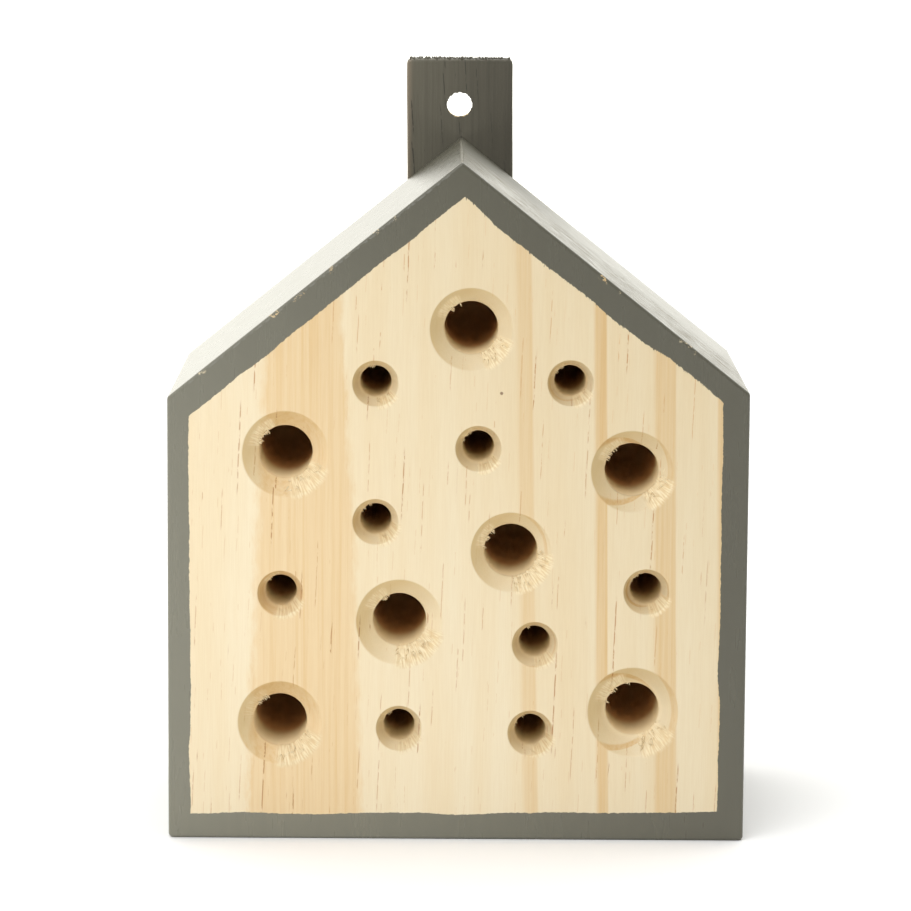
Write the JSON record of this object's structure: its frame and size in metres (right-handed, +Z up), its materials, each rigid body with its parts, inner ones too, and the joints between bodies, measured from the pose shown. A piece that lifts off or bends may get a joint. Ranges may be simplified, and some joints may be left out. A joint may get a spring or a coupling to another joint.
{
  "type": "insect hotel",
  "caption": "House-shaped wooden block with blind countersunk nest holes in its front and a drilled strip on its back to hang it by.",
  "frame": {"origin": "bottom centre of the whole object, the strip included", "axes": "+Z up towards the ridge, the nest holes open towards -Y, +X to the right seen from the front"},
  "size_m": [0.11, 0.072, 0.146],
  "materials": {
    "bare_and_painted_pine": "sawn bare pine front inside a satin grey painted border; sides, roof, back and bottom painted grey",
    "painted_strip": "satin warm grey paint on rough sawn pine",
    "zinc_plated_steel": "dull zinc plate"
  },
  "bodies": {
    "root": {"house_block": "bare_and_painted_pine", "hanging_strip": "painted_strip", "strip_screws": "zinc_plated_steel"}
  },
  "joints": []
}
